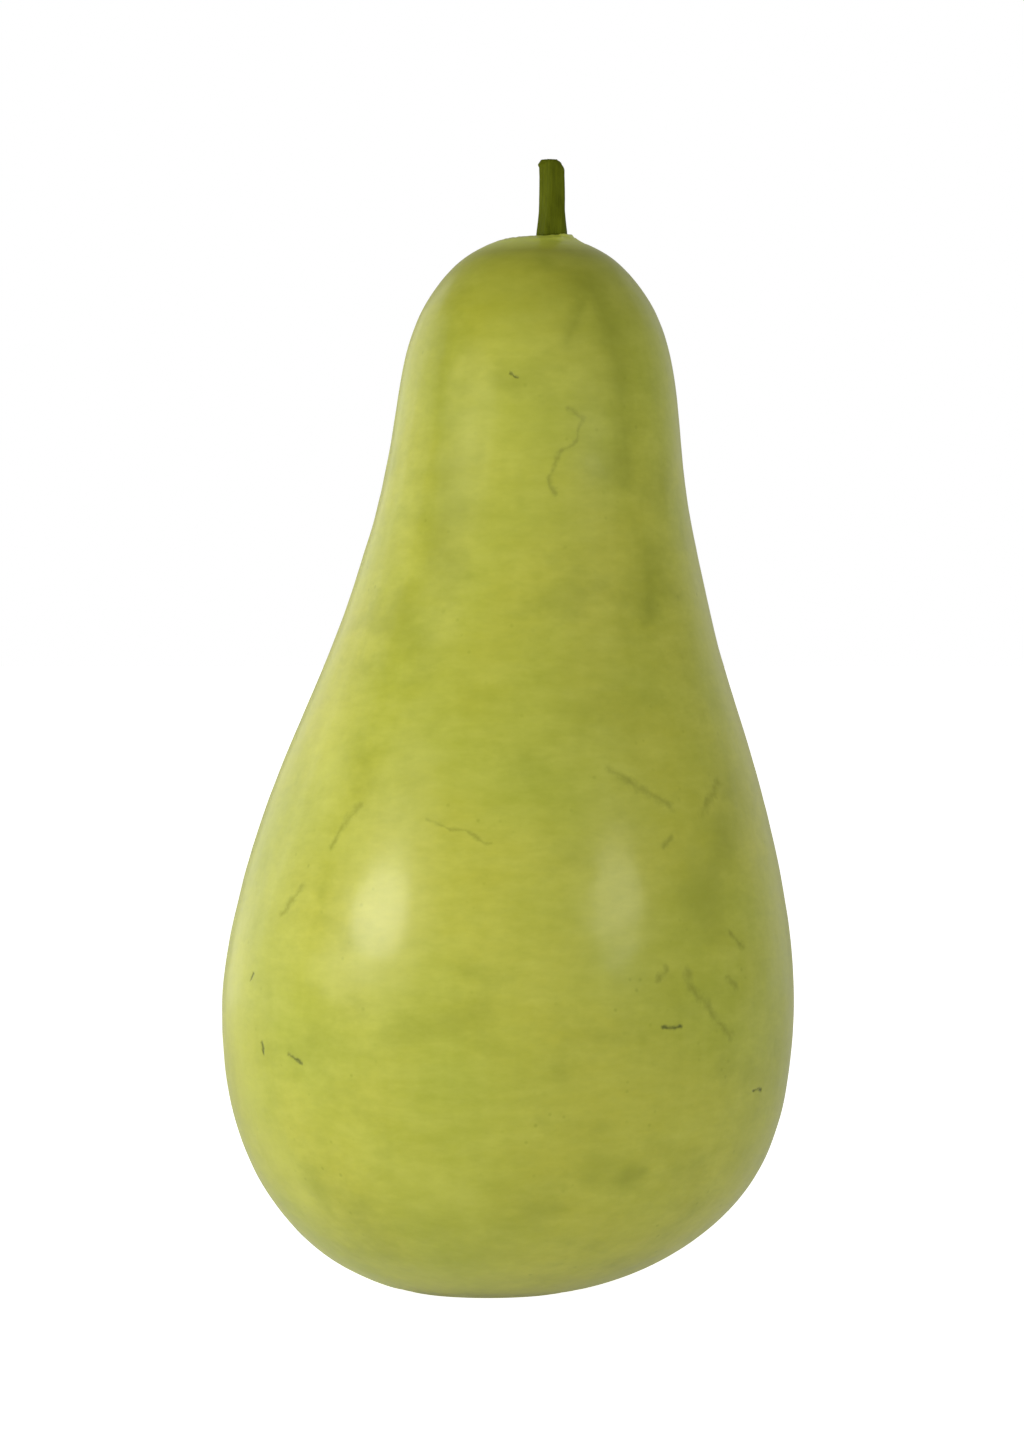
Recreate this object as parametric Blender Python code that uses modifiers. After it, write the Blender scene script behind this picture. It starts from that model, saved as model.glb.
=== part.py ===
"""Bottle gourd: one pear-shaped fruit with the stub of its stem, standing on its blossom end.

Metres, +Z up. The origin is on the surface that the gourd stands on, under the middle of its
bounding box. The neck leans towards +X. There are two pieces: the fruit, one solid body with a
flat rest spot below and a small flat stem seat on top, and the five-angled stem on that seat.
"""

import math
from collections import namedtuple

import bpy
from mathutils import Vector
from mathutils.geometry import interpolate_bezier

# Driving dimensions of the fruit
FRUIT_HEIGHT = 0.276
BELLY_RADIUS = 0.075
NECK_LEAN = 0.008
FOOT_LEAN = 0.0050
SEAT_LEAN = 0.0036
DEPTH_SHARE = 0.985
LOBE_SHARE = 0.008

# Driving dimensions of the stem
STEM_LENGTH = 0.0196
STEM_RADIUS = 0.0031
STEM_BEND = 0.0005
RIDGE_COUNT = 5
RIDGE_SHARE = 0.09
SEAT_GAP = 0.0003

# Fineness of the solids
TURN_STEPS = 48
ARC_POINTS = 8
RIDGE_OUTLINE_POINTS = 30
STEM_PATH_STEPS = 4

# The outline from the seat down to the rest spot. Radius is a share of BELLY_RADIUS, height and
# reach (the lengths of the Bezier handles before and after) are shares of FRUIT_HEIGHT, and slope
# is the outline's direction in degrees: 0 runs outwards, -90 straight down.
Anchor = namedtuple("Anchor", "radius height slope reach_before reach_after")
OUTLINE = (
    Anchor(0.093, 1.000, -29, 0.000, 0.048),  # edge of the stem seat
    Anchor(0.387, 0.939, -58, 0.047, 0.065),  # shoulder of the neck
    Anchor(0.573, 0.710, -75, 0.098, 0.098),  # waist
    Anchor(0.768, 0.542, -69.5, 0.086, 0.086),  # flank
    Anchor(1.000, 0.270, -90, 0.087, 0.093),  # belly
    Anchor(0.817, 0.087, -128, 0.044, 0.050),  # underside
    Anchor(0.265, 0.000, -171, 0.072, 0.000),  # edge of the rest spot
)

# The neck's lean grows between these two shares of the height. The foot's lean grows the other
# way below its own share, mostly near the ground.
LEAN_START = 0.215
LEAN_END = 0.935
FOOT_LEAN_TOP = 0.215
FOOT_LEAN_POWER = 4

# The stem seat's own lean fades out between these two radii, above the given share of the height
SEAT_LEAN_INNER = 0.003
SEAT_LEAN_OUTER = 0.012
SEAT_LEAN_FLOOR = 0.8

# The stem from its base to its cut end: share of its length, and share of STEM_RADIUS
STEM_STATIONS = (
    (0.00, 1.20),
    (0.16, 1.07),
    (0.40, 1.00),
    (0.85, 0.98),
    (0.96, 0.90),
    (1.00, 0.76),
)

FRUIT_COLOUR = "AAAE4A"
STEM_COLOUR = "525C10"


def linear_colour(hex_colour):
    """The linear RGBA of an sRGB colour written as six hex digits."""
    channels = [int(hex_colour[i : i + 2], 16) / 255 for i in (0, 2, 4)]
    linear = [c / 12.92 if c <= 0.04045 else ((c + 0.055) / 1.055) ** 2.4 for c in channels]
    return (*linear, 1.0)


def skin_material(name, hex_colour, roughness):
    material = bpy.data.materials.new(name)
    material.use_nodes = True
    shader = material.node_tree.nodes["Principled BSDF"]
    shader.inputs["Base Color"].default_value = linear_colour(hex_colour)
    shader.inputs["Roughness"].default_value = roughness
    shader.inputs["Metallic"].default_value = 0.0
    return material


def eased(start, end, value):
    """0 before start and 1 after end, with a smooth rise between."""
    share = min(max((value - start) / (end - start), 0.0), 1.0)
    return share * share * (3 - 2 * share)


def handle(slope, reach):
    turn = math.radians(slope)
    return Vector((math.cos(turn), 0.0, math.sin(turn))) * reach * FRUIT_HEIGHT


def anchor_point(anchor):
    return Vector((anchor.radius * BELLY_RADIUS, 0.0, anchor.height * FRUIT_HEIGHT))


def outline_points():
    """The fruit's half outline in the XZ plane, from the axis at the seat to the axis at the foot."""
    points = [Vector((0.0, 0.0, FRUIT_HEIGHT)), anchor_point(OUTLINE[0])]
    for upper, lower in zip(OUTLINE, OUTLINE[1:]):
        start, end = anchor_point(upper), anchor_point(lower)
        leave = start + handle(upper.slope, upper.reach_after)
        arrive = end - handle(lower.slope, lower.reach_before)
        points += interpolate_bezier(start, leave, arrive, end, ARC_POINTS)[1:]
    return points + [Vector((0.0, 0.0, 0.0))]


def core_offset(radius, height):
    """How far towards +X the middle of the fruit lies at this height and distance from it."""
    share = height / FRUIT_HEIGHT
    neck = NECK_LEAN * eased(LEAN_START, LEAN_END, share)
    foot = FOOT_LEAN * max(1 - share / FOOT_LEAN_TOP, 0.0) ** FOOT_LEAN_POWER
    seat = 0.0
    if share > SEAT_LEAN_FLOOR:
        seat = SEAT_LEAN * (1 - eased(SEAT_LEAN_INNER, SEAT_LEAN_OUTER, radius))
    return neck - foot + seat


def grown(point):
    """A point of the turned shape, moved to where the grown fruit has it: leaning, not quite round."""
    radius = math.hypot(point.x, point.y)
    turn = math.atan2(point.y, point.x)
    lobed = radius * (1 + LOBE_SHARE * math.sin(3 * turn))
    x = lobed * math.cos(turn) + core_offset(radius, point.z)
    y = lobed * math.sin(turn) * DEPTH_SHARE
    return Vector((x, y, point.z))


def turned_mesh(points):
    """The mesh of an outline turned about Z by a Screw modifier."""
    outline = bpy.data.meshes.new("fruit outline")
    edges = [(i, i + 1) for i in range(len(points) - 1)]
    outline.from_pydata([tuple(p) for p in points], edges, [])
    holder = bpy.data.objects.new("fruit outline", outline)
    bpy.context.scene.collection.objects.link(holder)
    screw = holder.modifiers.new("turn", "SCREW")
    screw.steps = TURN_STEPS
    screw.render_steps = TURN_STEPS
    screw.use_merge_vertices = True
    screw.merge_threshold = 0.0001
    graph = bpy.context.evaluated_depsgraph_get()
    mesh = bpy.data.meshes.new_from_object(holder.evaluated_get(graph))
    bpy.data.objects.remove(holder)
    bpy.data.meshes.remove(outline)
    return mesh


def make_fruit(collection):
    """The fruit, with its bounding box centred on Z, and the middle of its stem seat."""
    mesh = turned_mesh(outline_points())
    mesh.name = "fruit"
    for vertex in mesh.vertices:
        vertex.co = grown(vertex.co)
    xs = [vertex.co.x for vertex in mesh.vertices]
    ys = [vertex.co.y for vertex in mesh.vertices]
    middle = Vector(((min(xs) + max(xs)) / 2, (min(ys) + max(ys)) / 2, 0.0))
    for vertex in mesh.vertices:
        vertex.co -= middle
    mesh.shade_smooth()
    mesh.materials.clear()
    mesh.materials.append(skin_material("gourd rind", FRUIT_COLOUR, 0.38))
    collection.objects.link(bpy.data.objects.new("fruit", mesh))
    return grown(Vector((0.0, 0.0, FRUIT_HEIGHT))) - middle


def ridge_outline(guides):
    """The stem's five-angled section, a closed curve that sweeps along the stem's path."""
    curve = bpy.data.curves.new("stem section", "CURVE")
    curve.dimensions = "2D"
    spline = curve.splines.new("POLY")
    spline.points.add(RIDGE_OUTLINE_POINTS - 1)
    spline.use_cyclic_u = True
    for index, point in enumerate(spline.points):
        turn = -2 * math.pi * index / RIDGE_OUTLINE_POINTS
        radius = STEM_RADIUS * (1 + RIDGE_SHARE * math.cos(RIDGE_COUNT * turn))
        point.co = (radius * math.cos(turn), radius * math.sin(turn), 0.0, 1.0)
    section = bpy.data.objects.new("stem section", curve)
    section.hide_render = True
    section.display_type = "WIRE"
    guides.objects.link(section)
    return section


def make_stem(collection, guides, seat):
    """The stem: its section swept from just above the seat to the cut end, bending a little."""
    curve = bpy.data.curves.new("stem", "CURVE")
    curve.dimensions = "3D"
    curve.bevel_mode = "OBJECT"
    curve.bevel_object = ridge_outline(guides)
    curve.use_fill_caps = True
    curve.resolution_u = STEM_PATH_STEPS
    spline = curve.splines.new("BEZIER")
    spline.radius_interpolation = "EASE"
    spline.bezier_points.add(len(STEM_STATIONS) - 1)
    for point, (share, thickness) in zip(spline.bezier_points, STEM_STATIONS):
        bend = STEM_BEND * math.sin(math.pi * share)
        point.co = (bend, 0.0, share * STEM_LENGTH)
        point.handle_left_type = "AUTO"
        point.handle_right_type = "AUTO"
        point.radius = thickness
    first = spline.bezier_points[0]
    first.handle_left_type = "FREE"
    first.handle_right_type = "FREE"
    first.handle_left = first.co - Vector((0.0, 0.0, STEM_LENGTH * 0.05))
    first.handle_right = first.co + Vector((0.0, 0.0, STEM_LENGTH * 0.05))
    curve.materials.append(skin_material("gourd stem", STEM_COLOUR, 0.6))
    stem = bpy.data.objects.new("stem", curve)
    stem.location = seat + Vector((0.0, 0.0, SEAT_GAP))
    collection.objects.link(stem)


def named_collection(name):
    collection = bpy.data.collections.new(name)
    bpy.context.scene.collection.children.link(collection)
    return collection


def main():
    for leftover in list(bpy.data.objects):
        bpy.data.objects.remove(leftover)
    parts = named_collection("bottle gourd")
    guides = named_collection("guides")
    seat = make_fruit(parts)
    make_stem(parts, guides, seat)


main()
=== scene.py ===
"""Bottle gourd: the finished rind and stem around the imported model, and the studio they stand in.

Laid out as a Blender add-on and run as a script. Metres, +Z up. The gourd stands at the origin
and is seen from -Y, with its neck leaning towards +X.
"""

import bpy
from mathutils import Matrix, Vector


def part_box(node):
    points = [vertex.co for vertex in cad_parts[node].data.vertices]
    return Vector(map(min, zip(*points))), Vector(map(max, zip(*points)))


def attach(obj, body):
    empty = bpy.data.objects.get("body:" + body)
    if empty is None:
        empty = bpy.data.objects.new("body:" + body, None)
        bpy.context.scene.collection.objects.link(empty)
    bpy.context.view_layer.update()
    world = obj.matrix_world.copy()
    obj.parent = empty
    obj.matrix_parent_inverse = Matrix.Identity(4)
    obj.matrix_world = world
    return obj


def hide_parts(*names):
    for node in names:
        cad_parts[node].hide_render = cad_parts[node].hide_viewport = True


bl_info = {
    "name": "Bottle Gourd",
    "version": (1, 0, 0),
    "blender": (4, 5, 0),
    "location": "View3D > Sidebar > Gourd",
    "description": "A pear-shaped bottle gourd with its cut stem, on a pale studio table",
    "category": "Add Mesh",
}

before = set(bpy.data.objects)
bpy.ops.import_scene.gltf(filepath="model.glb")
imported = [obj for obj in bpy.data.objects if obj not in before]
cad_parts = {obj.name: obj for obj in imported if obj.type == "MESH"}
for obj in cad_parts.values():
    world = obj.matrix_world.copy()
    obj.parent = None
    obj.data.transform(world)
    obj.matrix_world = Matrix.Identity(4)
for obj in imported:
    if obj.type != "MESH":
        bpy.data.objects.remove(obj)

import math
from collections import namedtuple

import bpy
from mathutils import Matrix, Vector
from mathutils.geometry import interpolate_bezier

MM = 0.001
FRUIT_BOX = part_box("fruit")
STEM_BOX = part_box("stem")
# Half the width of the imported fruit, less a hair so that the rind stays inside it
BELLY_RADIUS = (FRUIT_BOX[1][0] - FRUIT_BOX[0][0]) / 2 - 0.02 * MM
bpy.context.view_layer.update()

# The fruit's outline from the stem seat to the rest spot. Radius is a share of the belly's,
# height and reach (the Bezier handles before and after) are shares of the fruit's height, and
# slope is the outline's direction in degrees: 0 runs outwards, -90 straight down.
Anchor = namedtuple("Anchor", "radius height slope reach_before reach_after")
FRUIT_OUTLINE = (
    Anchor(0.128, 0.9973, -24, 0.004, 0.034),  # foot of the collar round the stem
    Anchor(0.387, 0.939, -58, 0.047, 0.065),  # shoulder of the neck
    Anchor(0.573, 0.710, -75, 0.098, 0.098),  # waist
    Anchor(0.768, 0.542, -69.5, 0.086, 0.086),  # flank
    Anchor(1.000, 0.270, -90, 0.087, 0.093),  # belly
    Anchor(0.817, 0.087, -128, 0.044, 0.050),  # underside
    Anchor(0.265, 0.000, -171, 0.072, 0.008),  # edge of the rest spot
)
# Radius and depth below the seat's plane, in millimetres, from the axis outwards: the socket that
# the stem grows out of and the fleshy collar round it
COLLAR_MM = ((0.0, 1.5), (3.0, 1.4), (4.0, 0.75), (4.8, 0.15), (6.2, 0.12), (7.8, 0.38))
# Radius and height above the ground, in millimetres, from the rest spot inwards: the shallow
# puckered pit of the blossom end, with the corky scar in its middle
BLOSSOM_MM = ((13.0, 0.02), (9.5, 0.25), (7.0, 0.95), (5.2, 1.1), (4.3, 0.65), (3.0, 0.5), (0.0, 0.75))

# Heights at which the lean of the neck starts and ends, and where the foot's own lean starts, as
# shares of the fruit's height
LEAN_START = 0.215
LEAN_END = 0.935
FOOT_LEAN_TOP = 0.215
FOOT_LEAN_POWER = 4.0
# The collar's own lean fades out between these radii, above the given share of the height
SEAT_LEAN_INNER = 3 * MM
SEAT_LEAN_OUTER = 12 * MM
SEAT_LEAN_FLOOR = 0.8
# The raised collar ends between these radii
COLLAR_INNER = 6.6 * MM
COLLAR_OUTER = 8.2 * MM
# Lengths of the rind's broad dents, its small dents and the wrinkles at its two ends
BROAD_DENT = 60 * MM
SMALL_DENT = 17 * MM
WRINKLE = 2.6 * MM
# Dents start and are deepest at these distances from the ground and from the seat of the stem
DENTS_FROM_GROUND = (1 * MM, 9 * MM)
DENTS_FROM_SEAT = (2.5 * MM, 9 * MM)
# Wrinkles of the blossom end lie below this height, and wrinkles start and are deepest at these
# distances from the ground and from the seat of the stem
PIT_TOP = 1.6 * MM
WRINKLES_FROM_GROUND = (0.05 * MM, 0.9 * MM)
WRINKLES_FROM_SEAT = (3.2 * MM, 0.5 * MM)

# The stem's outline from the middle of its base, over the cut end, in millimetres: radius and
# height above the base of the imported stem
STEM_MM = (
    *((0.0, -1.1), (3.1, -1.1), (3.8, -0.6), (3.85, 0.6), (3.65, 2.6)),  # foot, in the socket
    *((3.37, 6.0), (3.27, 10.0), (3.15, 15.0), (3.08, 18.2)),  # stalk
    *((2.8, 19.3), (2.4, 19.7), (2.0, 19.6), (1.2, 19.35), (0.0, 19.4)),  # cut end
)

# The stem's curled lip: its middle and its reach up and down are shares of the stem's length, its
# height is a share of the radius, and its paleness is how strongly it takes the ridges' colour
LIP_MIDDLE = 0.925
LIP_REACH = 0.045
LIP_HEIGHT = 0.13
LIP_PALENESS = 8.0
# Where the cut face starts and is whole, and the same for its slope and tears, as shares of the
# stem's length
CUT_FACE = (0.982, 0.992)
TORN_END = (0.85, 0.98)
# The cut slopes between these distances from the axis towards +X, and its tears are this long
CUT_SLOPE_ACROSS = (1.2 * MM, 3.2 * MM)
TEAR = 1.3 * MM

# Marks on the rind. Each is a chain of spots, given as degrees round from the front towards +X
# and millimetres above the ground, with its half width in millimetres.
SCRATCHES = (
    (((22, 138), (29, 133), (38, 129)), 1.5),
    (((56, 134), (51, 130), (47, 126)), 1.6),
    (((36, 121), (34, 118)), 1.2),
    (((38, 87), (38, 84), (43, 78), (50, 70)), 1.6),
    (((-39, 129), (-44, 118)), 1.2),
    (((-50, 108), (-55, 101)), 1.4),
    (((33, 88), (31, 85)), 1.2),
    (((51, 96), (55, 92)), 1.1),
    (((49, 85), (52, 82)), 1.1),
    (((-20, 126), (-6, 120)), 0.7),
    (((118, 96), (124, 99), (131, 108)), 1.5),
    (((-152, 143), (-149, 127)), 1.4),
    (((168, 70), (182, 67)), 1.4),
)
VEINS = (
    (((12, 230), (18, 227), (16, 222), (8, 217), (5, 212), (8, 208)), 0.9),
    (((-128, 205), (-124, 199), (-127, 193)), 0.9),
)
NICKS = (
    (((-58, 67), (-58, 65)), 0.9),
    (((-49, 65), (-45, 64)), 0.75),
    (((-63, 85), (-64, 83)), 0.6),
    (((32, 73), (36, 73)), 0.7),
    (((60, 55), (64, 55)), 0.5),
    (((-11, 239), (-8, 238)), 0.5),
    (((104, 58), (107, 57)), 0.7),
    (((-170, 88), (-171, 85)), 0.7),
)
# Darker and paler places in the rind, set down in the same way, with painted shade and a painted reflection
# among them
DARK_PLACES_AND_PAINTED_SHADE = (
    (((60, 130), (48, 113), (43, 103)), 13.0),
    (((45, 193), (41, 180)), 9.0),
    # Painted shade: this band dims the key light's reflection on the left of the neck
    (((-48, 246), (-38, 215), (-30, 192)), 13.0),
    (((30, 262), (36, 240), (38, 212)), 6.0),
    (((3, 269), (6, 268)), 3.5),
    (((22, 257), (12, 247)), 3.0),
    (((27, 35), (30, 36)), 4.0),
    (((-140, 110), (-150, 90)), 15.0),
    (((120, 170), (128, 150)), 12.0),
)
PALE_PLACES_AND_PAINTED_REFLECTION = (
    # Painted reflection: a pale band down the lower left of the belly, for the light of the table and the
    # low left
    (((-75, 95), (-68, 60), (-56, 28)), 13.0),
    (((-30, 40), (-10, 30)), 10.0),
    (((-60, 150), (-50, 130)), 9.0),
    (((100, 60), (120, 45)), 14.0),
    (((-170, 150), (170, 120)), 13.0),
)

# A mark has faded out at this many half widths from its middle line, and a broken pattern eats
# away up to this many of them
MARK_EDGE = 1.6
MARK_RAGGED = 0.7
# Its line wanders in waves of this length, within a band of this width
WANDER_LENGTH = 6 * MM
WANDER_REACH = 4 * MM
# Bands of colour, each from where it starts to where it is whole: the painted shade on the shoulder,
# which darkens the top that faces away from the lights, in shares of the height, the pale collar, below
# the seat of the stem, and the rubbed skin and the cork, out from the middle of the blossom scar
PAINTED_SHOULDER_SHADE = (0.83, 0.965)
PALE_COLLAR = (4.6 * MM, 1.6 * MM)
RUBBED_SKIN = (24 * MM, 9 * MM)
CORK = (6.5 * MM, 4 * MM)

# Lights that stand round the gourd. Azimuth and elevation are in degrees from its front, as seen
# from the target, sizes and distances are in metres, and level names the setting it shines with.
Softbox = namedtuple("Softbox", "name azimuth elevation distance width height target level")
# What they face, as shares of the fruit's half width, half depth and height: the two highlights on
# its belly, its middle, and a place near its foot
BELLY_LEFT = (-0.427, -0.839, 0.37)
BELLY_RIGHT = (0.36, -0.934, 0.377)
MIDDLE = (0.0, 0.0, 0.536)
NEAR_FOOT = (0.0, 0.0, 0.072)
SOFTBOXES = (
    Softbox("key", -60, 19, 0.38, 0.19, 0.13, BELLY_LEFT, "key_level"),
    Softbox("key surround", -60, 18, 0.55, 0.56, 0.45, BELLY_LEFT, "surround_level"),
    Softbox("fill", 48, 17.5, 0.42, 0.19, 0.14, BELLY_RIGHT, "fill_level"),
    Softbox("left panel", -110, 10, 1.6, 1.0, 1.35, MIDDLE, "left_panel_level"),
    Softbox("rear left panel", -140, 10, 1.6, 1.0, 1.35, MIDDLE, "rear_panel_level"),
    Softbox("rear right panel", 140, 10, 1.6, 1.0, 1.35, MIDDLE, "right_panel_level"),
    Softbox("low strip", -70, 12, 0.8, 0.45, 0.11, NEAR_FOOT, "strip_level"),
)


def linear_colour(hex_colour):
    """The linear RGB of an sRGB colour written as six hex digits."""
    channels = [int(hex_colour[i : i + 2], 16) / 255 for i in (0, 2, 4)]
    return [c / 12.92 if c <= 0.04045 else ((c + 0.055) / 1.055) ** 2.4 for c in channels]


def add_node(tree, kind, inputs=(), **settings):
    """A new node with its settings and links. Inputs are a list for its sockets in order, or a
    dictionary by socket name; a node given as a value stands for its first output."""
    node = tree.nodes.new(kind)
    for name, value in settings.items():
        setattr(node, name, value)
    shown = [socket for socket in node.inputs if socket.enabled]
    if isinstance(inputs, dict):
        pairs = [(next(s for s in shown if s.name == name), value) for name, value in inputs.items()]
    else:
        pairs = zip(shown, inputs)
    for socket, value in pairs:
        if isinstance(value, bpy.types.Node):
            value = next(output for output in value.outputs if output.enabled)
        if isinstance(value, bpy.types.NodeSocket):
            tree.links.new(value, socket)
        elif value is not None:
            socket.default_value = value
    return node


# Shape of the rind and the stem


def outline_curve(name, knots):
    """A Bezier curve in the XZ plane. Each knot is its place and its two handles, or its place
    alone where Blender finds the handles."""
    curve = bpy.data.curves.new(name, "CURVE")
    curve.dimensions = "3D"
    curve.resolution_u = 48
    spline = curve.splines.new("BEZIER")
    spline.bezier_points.add(len(knots) - 1)
    for point, (place, *handles) in zip(spline.bezier_points, knots):
        point.co = place
        kind = "FREE" if handles else "AUTO"
        point.handle_left_type = kind
        point.handle_right_type = kind
        if handles:
            point.handle_left, point.handle_right = handles
    return curve


def plain_knots(pairs_mm, base=0.0, up=1.0):
    return [(Vector((radius * MM, 0.0, base + up * rise * MM)),) for radius, rise in pairs_mm]


def anchor_knot(anchor, shape):
    place = Vector((anchor.radius * shape.belly_radius, 0.0, anchor.height * shape.height))
    turn = math.radians(anchor.slope)
    way = Vector((math.cos(turn), 0.0, math.sin(turn))) * shape.height
    return place, place - way * anchor.reach_before, place + way * anchor.reach_after


def fruit_knots(shape):
    """The knots of the fruit's outline, from the socket under the stem to the blossom scar."""
    collar = plain_knots(COLLAR_MM, shape.height, -1.0)
    return collar + [anchor_knot(anchor, shape) for anchor in FRUIT_OUTLINE] + plain_knots(BLOSSOM_MM)


def start_tree(name, sockets):
    """A Geometry Nodes tree with these inputs, and the outputs of the node that gives them."""
    tree = bpy.data.node_groups.new(name, "GeometryNodeTree")
    for label, kind in sockets:
        tree.interface.new_socket(label, in_out="INPUT", socket_type=kind)
    tree.interface.new_socket("Geometry", in_out="OUTPUT", socket_type="NodeSocketGeometry")
    return tree, add_node(tree, "NodeGroupInput").outputs


TURNED_SOCKETS = (
    ("Outline", "NodeSocketGeometry"),
    ("Segments", "NodeSocketInt"),
    ("Rings", "NodeSocketInt"),
    ("End Crowding", "NodeSocketFloat"),
    ("Middle", "NodeSocketVector"),
    ("Seed", "NodeSocketFloat"),
    ("Material", "NodeSocketMaterial"),
)


def turned_grid(tree, given):
    """A grid to be rolled up into a turned body. Its columns run round from the back over +X, and
    its rows follow the outline, closer together at both ends. Gives the grid, and each point's
    radius, height and angle from +X."""
    columns = add_node(tree, "ShaderNodeMath", [given["Segments"], 1.0], operation="ADD")
    rows = add_node(tree, "ShaderNodeMath", [given["Rings"], 1.0], operation="ADD")
    grid = add_node(tree, "GeometryNodeMeshGrid", [1.0, 1.0, columns, rows])
    spot = add_node(tree, "ShaderNodeSeparateXYZ", [add_node(tree, "GeometryNodeInputPosition")])
    turn = add_node(tree, "ShaderNodeMapRange", [spot.outputs["X"], -0.5, 0.5, math.pi / 2, -1.5 * math.pi])
    along = add_node(tree, "ShaderNodeMath", [spot.outputs["Y"], 0.5], operation="ADD")
    phase = add_node(tree, "ShaderNodeMath", [along, math.tau], operation="MULTIPLY")
    wave = add_node(tree, "ShaderNodeMath", [phase], operation="SINE")
    most = add_node(tree, "ShaderNodeMath", [given["End Crowding"], -math.tau], operation="DIVIDE")
    crowded = add_node(tree, "ShaderNodeMath", [wave, most, along], operation="MULTIPLY_ADD")
    along_curve = {"Curves": given["Outline"], "Factor": crowded}
    sample = add_node(tree, "GeometryNodeSampleCurve", along_curve, use_all_curves=True)
    outline = add_node(tree, "ShaderNodeSeparateXYZ", [sample.outputs["Position"]])
    return grid, outline.outputs["X"], outline.outputs["Z"], turn


def rolled_up(tree, grid, radius, height, turn, depth_share, offset_x):
    """The grid rolled up and welded along its seam and at its two ends, with a map for baking."""
    cosine = add_node(tree, "ShaderNodeMath", [turn], operation="COSINE")
    sine = add_node(tree, "ShaderNodeMath", [turn], operation="SINE")
    depth = add_node(tree, "ShaderNodeMath", [radius, depth_share], operation="MULTIPLY")
    x = add_node(tree, "ShaderNodeMath", [radius, cosine, offset_x], operation="MULTIPLY_ADD")
    y = add_node(tree, "ShaderNodeMath", [depth, sine], operation="MULTIPLY")
    place = add_node(tree, "ShaderNodeCombineXYZ", [x, y, height])
    rolled = add_node(tree, "GeometryNodeSetPosition", {"Geometry": grid, "Position": place})
    mapped = add_node(
        tree,
        "GeometryNodeStoreNamedAttribute",
        {"Geometry": rolled, "Name": "OFBake", "Value": grid.outputs["UV Map"]},
        data_type="FLOAT2",
        domain="CORNER",
    )
    return add_node(tree, "GeometryNodeMergeByDistance", {"Geometry": mapped, "Distance": 0.001 * MM})


def finish_tree(tree, given, geometry):
    smooth = add_node(tree, "GeometryNodeSetShadeSmooth", {"Geometry": geometry})
    real = add_node(tree, "GeometryNodeRealizeInstances", {"Geometry": smooth})
    skinned = add_node(tree, "GeometryNodeSetMaterial", {"Geometry": real, "Material": given["Material"]})
    add_node(tree, "NodeGroupOutput", [skinned])


def noise_field(tree, seed, feature, detail, edges):
    """A smooth random field, 0 to 1, whose waves are about one feature long."""
    look = {"W": seed, "Scale": 1.0 / feature, "Detail": detail}
    noise = add_node(tree, "ShaderNodeTexNoise", look, noise_dimensions="4D")
    return add_node(tree, "ShaderNodeMapRange", [noise, *edges, 0.0, 1.0], interpolation_type="SMOOTHSTEP")


def fruit_tree():
    """A turned body that leans, is a little three-lobed, and is dented here and there."""
    sizes = ("Height", "Neck Lean", "Foot Lean", "Seat Lean", "Depth Share", "Lobe Share")
    details = ("Collar Step", "Dent Depth", "Pucker Depth")
    sockets = [(label, "NodeSocketFloat") for label in sizes + details]
    tree, given = start_tree("Grown gourd", (*TURNED_SOCKETS, *sockets))
    grid, radius, height, turn = turned_grid(tree, given)
    tripled = add_node(tree, "ShaderNodeMath", [turn, 3.0], operation="MULTIPLY")
    lobes = add_node(tree, "ShaderNodeMath", [tripled], operation="SINE")
    swell = add_node(tree, "ShaderNodeMath", [lobes, given["Lobe Share"], 1.0], operation="MULTIPLY_ADD")
    lobed = add_node(tree, "ShaderNodeMath", [radius, swell], operation="MULTIPLY")
    share = add_node(tree, "ShaderNodeMath", [height, given["Height"]], operation="DIVIDE")
    neck_range = [share, LEAN_START, LEAN_END, 0.0, given["Neck Lean"]]
    neck = add_node(tree, "ShaderNodeMapRange", neck_range, interpolation_type="SMOOTHSTEP")
    low = add_node(tree, "ShaderNodeMapRange", [share, FOOT_LEAN_TOP, 0.0, 0.0, 1.0])
    lower = add_node(tree, "ShaderNodeMath", [low, FOOT_LEAN_POWER], operation="POWER")
    foot = add_node(tree, "ShaderNodeMath", [lower, given["Foot Lean"]], operation="MULTIPLY")
    on_top = add_node(tree, "ShaderNodeMath", [share, SEAT_LEAN_FLOOR], operation="GREATER_THAN")
    seat_range = [radius, SEAT_LEAN_INNER, SEAT_LEAN_OUTER, on_top, 0.0]
    near_seat = add_node(tree, "ShaderNodeMapRange", seat_range, interpolation_type="SMOOTHSTEP")
    lean = [near_seat, given["Seat Lean"], neck]
    leaning = add_node(tree, "ShaderNodeMath", lean, operation="MULTIPLY_ADD")
    core = add_node(tree, "ShaderNodeMath", [leaning, foot], operation="SUBTRACT")
    # The collar ends in a low step on the side of +X
    cosine = add_node(tree, "ShaderNodeMath", [turn], operation="COSINE")
    side = add_node(tree, "ShaderNodeMapRange", [cosine, -0.3, 0.8, 0.0, given["Collar Step"]])
    collar_range = [radius, COLLAR_INNER, COLLAR_OUTER, side, 0.0]
    inside = add_node(tree, "ShaderNodeMapRange", collar_range, interpolation_type="SMOOTHSTEP")
    raised = add_node(tree, "ShaderNodeMath", [inside, on_top, height], operation="MULTIPLY_ADD")
    grounded = add_node(tree, "ShaderNodeMath", [raised, 0.0], operation="MAXIMUM")
    body = rolled_up(tree, grid, lobed, grounded, turn, given["Depth Share"], core)
    finish_tree(tree, given, dented(tree, moved_to_middle(tree, body, given["Middle"]), given))
    return tree


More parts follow.
